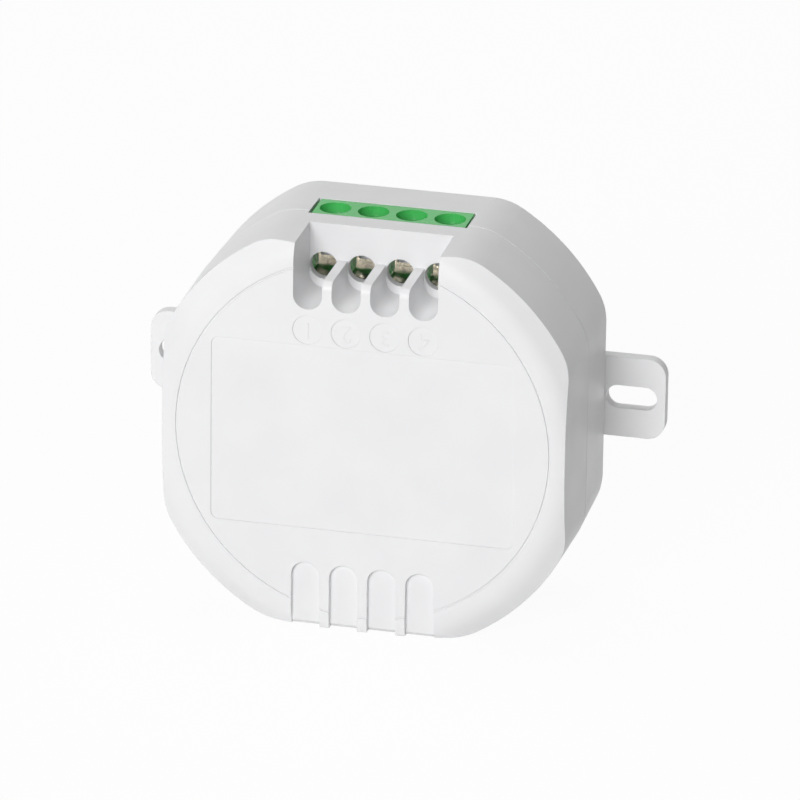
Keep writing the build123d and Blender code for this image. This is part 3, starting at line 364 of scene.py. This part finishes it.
def dress_relay():
    """Finishes of the relay and of its magnet."""
    dress(tinned_brass, "relay_coil_pins")
    cover_black = moulded("relay_cover_black", (0.012, 0.012, 0.014), (0.02, 0.02, 0.022), roughness=0.3,
                          grain_mm=0.2, depth_mm=0.003, edge_mm=0.1)
    dress(cover_black, "relay_cover")
    base_black = moulded("relay_base_black", (0.02, 0.02, 0.022), (0.03, 0.03, 0.03), roughness=0.5)
    dress(base_black, "relay_base", "radio_pin_strip")
    soft_iron = plated("soft_iron", (0.50, 0.50, 0.50), (0.42, 0.42, 0.43), roughness=0.35)
    dress(soft_iron, "relay_yoke", "relay_core", "relay_armature")
    bobbin_plastic = moulded("bobbin_plastic", (0.70, 0.68, 0.62), (0.66, 0.64, 0.58), roughness=0.45)
    dress(bobbin_plastic, "relay_bobbin")
    copper_wire = wound("copper_wire", (0.62, 0.20, 0.06), (0.30, 0.08, 0.02), wire_mm=0.2)
    dress(copper_wire, "relay_winding", "choke_winding")
    spring_bronze = plated("spring_bronze", (0.72, 0.46, 0.24), (0.62, 0.40, 0.20), roughness=0.25,
                           streak=(6, 1, 1))
    dress(spring_bronze, "relay_leaf_spring")
    contact_silver = plated("contact_silver", (0.86, 0.86, 0.84), (0.76, 0.76, 0.75), roughness=0.18)
    dress(contact_silver, "relay_moving_contact", "relay_fixed_contact")


def dress_boards():
    """Finishes of the two boards and of the parts on them."""
    dress(zinc_steel, "board_screws", "switch_body")
    dress(laminate("board_laminate"), "circuit_board", "radio_board")
    copper_bare = plated("copper_bare", (0.75, 0.36, 0.18), (0.62, 0.28, 0.14), roughness=0.28)
    dress(copper_bare, "antenna_coil")
    film_case = moulded("film_case", (0.70, 0.48, 0.02), (0.64, 0.43, 0.02), roughness=0.3,
                        grain_mm=0.3, depth_mm=0.003, edge_mm=0.1)
    dress(film_case, "film_capacitor")
    can_aluminium = plated("can_aluminium", (0.66, 0.67, 0.69), (0.58, 0.59, 0.61), roughness=0.3,
                           streak=(1, 8, 1))
    dress(can_aluminium, "electrolytic_capacitor")
    varistor_coat = moulded("varistor_coat", (0.015, 0.05, 0.30), (0.01, 0.04, 0.24), roughness=0.25,
                            grain_mm=0.8, depth_mm=0.02)
    dress(varistor_coat, "varistor")
    fuse_body = moulded("fuse_body", (0.74, 0.71, 0.62), (0.70, 0.67, 0.58), roughness=0.35)
    dress(fuse_body, "fuse")
    chip_black = moulded("chip_black", (0.012, 0.012, 0.013), (0.02, 0.02, 0.02), roughness=0.55,
                         grain_mm=0.15, depth_mm=0.006)
    dress(chip_black, "bridge_rectifier", "radio_chip", "controller_chip", "voltage_regulator",
          "chip_resistors")
    ferrite = moulded("ferrite", (0.03, 0.03, 0.033), (0.045, 0.045, 0.05), roughness=0.6,
                      grain_mm=0.15, depth_mm=0.01)
    dress(ferrite, "choke_core")
    crystal_can = plated("crystal_can", (0.80, 0.81, 0.82), (0.72, 0.73, 0.74), roughness=0.2)
    dress(crystal_can, "crystal")
    chip_ceramic = moulded("chip_ceramic", (0.36, 0.26, 0.17), (0.32, 0.23, 0.15), roughness=0.5)
    dress(chip_ceramic, "chip_capacitors")
    lamp_lens = moulded("lamp_lens", (0.85, 0.88, 0.70), (0.80, 0.84, 0.66), roughness=0.2)
    dress(lamp_lens, "status_lamp")
    switch_plastic = moulded("switch_plastic", (0.015, 0.015, 0.017), (0.02, 0.02, 0.022), roughness=0.4)
    dress(switch_plastic, "switch_plunger")


def area_light(name, place, target, size, energy):
    """Round soft light at a place, aimed at a target."""
    lamp = bpy.data.lights.new(name, "AREA")
    lamp.shape = "DISK"
    lamp.size = size
    lamp.energy = energy
    holder = add_object(name, lamp)
    holder.location = place
    holder.rotation_euler = (target - Vector(place)).to_track_quat("-Z", "Y").to_euler()


def seen_share(tree, share):
    """How much of the plain white shows: for the camera, and in reflections and through clear pieces."""
    path = tree.nodes.new("ShaderNodeLightPath")
    total = path.outputs["Is Camera Ray"]
    for ray in ("Is Glossy Ray", "Is Transmission Ray"):
        either = tree.nodes.new("ShaderNodeMath")
        either.operation = "MAXIMUM"
        tree.links.new(total, either.inputs[0])
        tree.links.new(path.outputs[ray], either.inputs[1])
        total = either.outputs[0]
    scaled = tree.nodes.new("ShaderNodeMath")
    scaled.operation = "MULTIPLY"
    scaled.inputs[1].default_value = share
    tree.links.new(total, scaled.inputs[0])
    return scaled.outputs[0]


def show_white(tree, surface, white_kind, share, output):
    """Mix plain white over a surface for the rays that look at it."""
    white = tree.nodes.new(white_kind)
    white.inputs["Color"].default_value = WHITE
    white.inputs["Strength"].default_value = 1
    mix = tree.nodes.new("ShaderNodeMixShader")
    tree.links.new(seen_share(tree, share), mix.inputs["Fac"])
    tree.links.new(surface.outputs[0], mix.inputs[1])
    tree.links.new(white.outputs[0], mix.inputs[2])
    tree.links.new(mix.outputs[0], tree.nodes[output].inputs["Surface"])


def build_world():
    """Dim white light all round, in front of a background that looks plain white."""
    world = bpy.data.worlds.new("studio")
    world.use_nodes = True
    bpy.context.scene.world = world
    soft = world.node_tree.nodes["Background"]
    soft.inputs["Color"].default_value = WHITE
    soft.inputs["Strength"].default_value = WORLD_STRENGTH
    show_white(world.node_tree, soft, "ShaderNodeBackground", WORLD_WHITE, "World Output")


def build_floor():
    """White floor that keeps a little of the object's shadow."""
    bm = bmesh.new()
    bmesh.ops.create_circle(bm, cap_ends=True, radius=FLOOR_RADIUS, segments=FLOOR_SIDES)
    mesh = bpy.data.meshes.new("floor")
    bm.to_mesh(mesh)
    bm.free()
    add_object("floor", mesh)
    paper = bpy.data.materials.new("studio_paper")
    paper.use_nodes = True
    tree = paper.node_tree
    tree.nodes.remove(tree.nodes["Principled BSDF"])
    diffuse = tree.nodes.new("ShaderNodeBsdfDiffuse")
    diffuse.inputs["Color"].default_value = PAPER_COLOUR
    show_white(tree, diffuse, "ShaderNodeEmission", FLOOR_WHITE, "Material Output")
    mesh.materials.append(paper)


def build_studio():
    """Three soft lamps, the world and the floor."""
    centre = Vector((0, 0, MID_Z))
    for name, (place, size, energy) in LAMPS.items():
        area_light(name, place, centre, size, energy)
    build_world()
    build_floor()


def finish_piece(name, bm, material, body="module"):
    """Turn a bmesh into a piece that rides on a body."""
    mesh = bpy.data.meshes.new(name)
    bm.to_mesh(mesh)
    bm.free()
    mesh.materials.append(material)
    piece = add_object(name, mesh)
    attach(piece, body)
    return piece


def merged_copy(name):
    """Bmesh of a CAD node with its loose triangles joined into whole faces."""
    bm = bmesh.new()
    bm.from_mesh(nodes[name].data)
    bmesh.ops.remove_doubles(bm, verts=bm.verts, dist=MERGE_DISTANCE * MM)
    bmesh.ops.dissolve_limit(bm, angle_limit=math.radians(FLAT_ANGLE), verts=bm.verts, edges=bm.edges)
    return bm


def round_edges(bm, width_mm, least_angle=SHARP_ANGLE):
    """Bevel every edge that turns by more than an angle."""
    least = math.radians(least_angle)
    sharp = [edge for edge in bm.edges if edge.is_manifold and edge.calc_face_angle() > least]
    bmesh.ops.bevel(bm, geom=sharp, offset=width_mm * MM, offset_type="OFFSET", affect="EDGES", segments=2,
                    profile=0.5, material=-1, clamp_overlap=True)


def spun(bm, profile, centre):
    """Body of revolution about an upright axis, from radius and height pairs in metres."""
    points = [bm.verts.new(centre + Vector((radius, 0, height))) for radius, height in profile]
    edges = [bm.edges.new(pair) for pair in zip(points, points[1:])]
    bmesh.ops.spin(bm, geom=points + edges, cent=centre, axis=(0, 0, 1), angle=math.tau,
                   steps=SPIN_STEPS, use_merge=True)


def add_thread(bm, centre, low, high, core):
    """Ridge of a screw thread round an upright core, closed at both ends."""
    before = set(bm.verts)
    pitch = SCREW_THREAD_PITCH * MM
    height = THREAD_FULLNESS * pitch
    root = core - SCREW_OVERLAP * MM
    corners = [(root, 0), (SCREW_THREAD_RADIUS * MM, height / 2), (root, height)]
    section = [bm.verts.new(centre + Vector((radius, 0, low + rise))) for radius, rise in corners]
    edges = [bm.edges.new((section[i], section[i - 1])) for i in range(3)]
    turns = (high - low - height) / pitch
    steps = round(turns * THREAD_STEPS)
    bmesh.ops.spin(bm, geom=section + edges, cent=centre, axis=(0, 0, 1), dvec=(0, 0, pitch * turns / steps),
                   angle=math.tau * turns, steps=steps)
    ends = [edge for edge in bm.edges if edge.is_boundary and edge.verts[0] not in before]
    bmesh.ops.holes_fill(bm, edges=ends, sides=3)


def terminal_screws():
    """Clamp screws: the recessed head of the CAD node with soft edges, a threaded shank and its rivet."""
    for n, node in enumerate(numbered("terminal_screw"), 1):
        low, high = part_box(node)
        centre = Vector(((low[0] + high[0]) / 2, (low[1] + high[1]) / 2, 0))
        neck = high[2] - SCREW_HEAD_HEIGHT * MM
        tip = low[2] + (RIVET_HEAD_HEIGHT + 2 * RUNNING_GAP + PLATE_THICKNESS) * MM
        bm = merged_copy(node)
        cut = bmesh.ops.bisect_plane(bm, geom=bm.verts[:] + bm.edges[:] + bm.faces[:],
                                     plane_co=(0, 0, neck + SCREW_OVERLAP * MM), plane_no=(0, 0, 1),
                                     clear_inner=True)["geom_cut"]
        bmesh.ops.holes_fill(bm, edges=[item for item in cut if isinstance(item, bmesh.types.BMEdge)])
        round_edges(bm, SCREW_EDGE)
        core = SCREW_CORE_RADIUS * MM
        core_top = neck + 2 * SCREW_OVERLAP * MM
        spun(bm, [
            (0, low[2]),
            ((RIVET_HEAD_RADIUS - RIVET_EDGE) * MM, low[2]),
            (RIVET_HEAD_RADIUS * MM, low[2] + RIVET_EDGE * MM),
            (RIVET_HEAD_RADIUS * MM, low[2] + RIVET_HEAD_HEIGHT * MM),
            (RIVET_RADIUS * MM, low[2] + RIVET_HEAD_HEIGHT * MM),
            (RIVET_RADIUS * MM, tip),
            (core - SCREW_CORE_CHAMFER * MM, tip),
            (core, tip + SCREW_CORE_CHAMFER * MM),
            (core, core_top),
            (0, core_top),
        ], centre)
        add_thread(bm, centre, tip + SCREW_OVERLAP * MM, neck + SCREW_OVERLAP * MM, core)
        bmesh.ops.remove_doubles(bm, verts=bm.verts, dist=MERGE_DISTANCE * MM)
        bmesh.ops.recalc_face_normals(bm, faces=bm.faces)
        piece = finish_piece(f"clamp_screw_{n}", bm, zinc_steel, f"screw_{n}")
        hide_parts(node)


def clamp_linings():
    """Tinned sheet seen through the wire holes: a collar in each funnel, a lip at its clamp's far end."""
    for n, node in enumerate(numbered("terminal_clamp"), 1):
        low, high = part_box(node)
        x = (low[0] + high[0]) / 2
        axis = high[2] - CLAMP_AXIS_SINK * MM
        bm = bmesh.new()
        back = low[1] - COLLAR_GAP * MM
        front = back - COLLAR_DEPTH * MM
        bore = COLLAR_RADIUS - COLLAR_WALL
        corners = [(bore, front), (COLLAR_RADIUS, front), (COLLAR_RADIUS, back), (bore, back)]
        section = [bm.verts.new((x + radius * MM, y, axis)) for radius, y in corners]
        edges = [bm.edges.new((section[i], section[i - 1])) for i in range(4)]
        bmesh.ops.rotate(bm, verts=section, cent=(x, 0, axis),
                         matrix=Matrix.Rotation(-math.radians(COLLAR_START), 3, "Y"))
        bmesh.ops.spin(bm, geom=section + edges, cent=(x, 0, axis), axis=(0, 1, 0),
                       angle=math.radians(COLLAR_ARC), steps=SPIN_STEPS)
        bmesh.ops.holes_fill(bm, edges=[edge for edge in bm.edges if edge.is_boundary], sides=4)
        bottom = axis - CLAMP_MOUTH_LOW * MM
        top = bottom + CLAMP_LIP_HEIGHT * MM
        middle = low[1] + (CLAMP_DEPTH - CLAMP_LIP_THICKNESS / 2 - CLAMP_LIP_GAP) * MM
        size = Matrix.Diagonal((CLAMP_MOUTH_WIDTH * MM, CLAMP_LIP_THICKNESS * MM, top - bottom, 1))
        place = Matrix.Translation((x, middle, (bottom + top) / 2))
        bmesh.ops.create_cube(bm, size=1, matrix=place @ size)
        bmesh.ops.recalc_face_normals(bm, faces=bm.faces)
        finish_piece(f"clamp_lining_{n}", bm, clamp_sheet)


def terminal_numbers():
    """Plain raised numbers in the round fields, upside down as the module hangs here."""
    for n, node in enumerate(numbered("terminal_screw"), 1):
        low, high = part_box(node)
        words = bpy.data.curves.new(f"number_{n}", "FONT")
        words.body = str(n)
        words.size = NUMBER_HEIGHT * MM / DIGIT_SHARE
        words.align_x = "CENTER"
        words.align_y = "CENTER"
        words.extrude = (NUMBER_RISE + NUMBER_ROOT) * MM / 2
        holder = add_object(f"number_{n}", words)
        bpy.context.view_layer.update()
        mesh = bpy.data.meshes.new_from_object(holder)
        bpy.data.objects.remove(holder)
        bpy.data.curves.remove(words)
        bm = bmesh.new()
        bm.from_mesh(mesh)
        bpy.data.meshes.remove(mesh)
        bmesh.ops.remove_doubles(bm, verts=bm.verts, dist=MERGE_DISTANCE * MM)
        front = FACE_Y + (FIELD_SINK - NUMBER_RISE / 2 + NUMBER_ROOT / 2) * MM
        place = Vector(((low[0] + high[0]) / 2, front, RING_Z + FIELD_RISE * MM))
        turn = Matrix.Rotation(math.pi, 4, "Y") @ Matrix.Rotation(math.radians(90), 4, "X")
        bmesh.ops.transform(bm, verts=bm.verts, matrix=Matrix.Translation(place) @ turn)
        bmesh.ops.recalc_face_normals(bm, faces=bm.faces)
        finish_piece(f"terminal_number_{n}", bm, shell_white)


def pin_tails(name):
    """Centres of the leads of a CAD node that come through the board, as X and Z."""
    groups = []
    for vertex in nodes[name].data.vertices:
        if vertex.co.y < BOARD_BACK + LEAD_REACH * MM:
            continue
        spot = Vector((vertex.co.x, vertex.co.z))
        for group in groups:
            if (group[0] - spot).length < LEAD_SPREAD * MM:
                group.append(spot)
                break
        else:
            groups.append([spot])
    return [(
        (min(p.x for p in group) + max(p.x for p in group)) / 2,
        (min(p.y for p in group) + max(p.y for p in group)) / 2,
    ) for group in groups]


def solder_joints():
    """A cone of solder round each lead behind the board."""
    bm = bmesh.new()
    soldered = numbered("terminal_clamp") + [
        "antenna_coil", "bridge_rectifier", "choke_winding", "electrolytic_capacitor", "film_capacitor",
        "fuse", "radio_pin_strip", "relay_coil_pins", "relay_fixed_contact", "relay_yoke", "varistor",
    ]
    for name in soldered:
        for x, z in pin_tails(name):
            middle = BOARD_BACK + SOLDER_HEIGHT * MM / 2
            place = Matrix.Translation((x, middle, z)) @ Matrix.Rotation(math.radians(-90), 4, "X")
            bmesh.ops.create_cone(bm, cap_ends=True, segments=SOLDER_SIDES, radius1=SOLDER_RADIUS * MM,
                                  radius2=SOLDER_TIP_RADIUS * MM, depth=SOLDER_HEIGHT * MM, matrix=place)
    round_edges(bm, SOLDER_EDGE, SOLDER_SHARP_ANGLE)
    finish_piece("solder_joints", bm, solder_tin)


aim_camera()
build_studio()
dress_outside()
dress_relay()
dress_boards()
terminal_screws()
clamp_linings()
terminal_numbers()
solder_joints()

bpy.context.scene.view_settings.view_transform = "Standard"
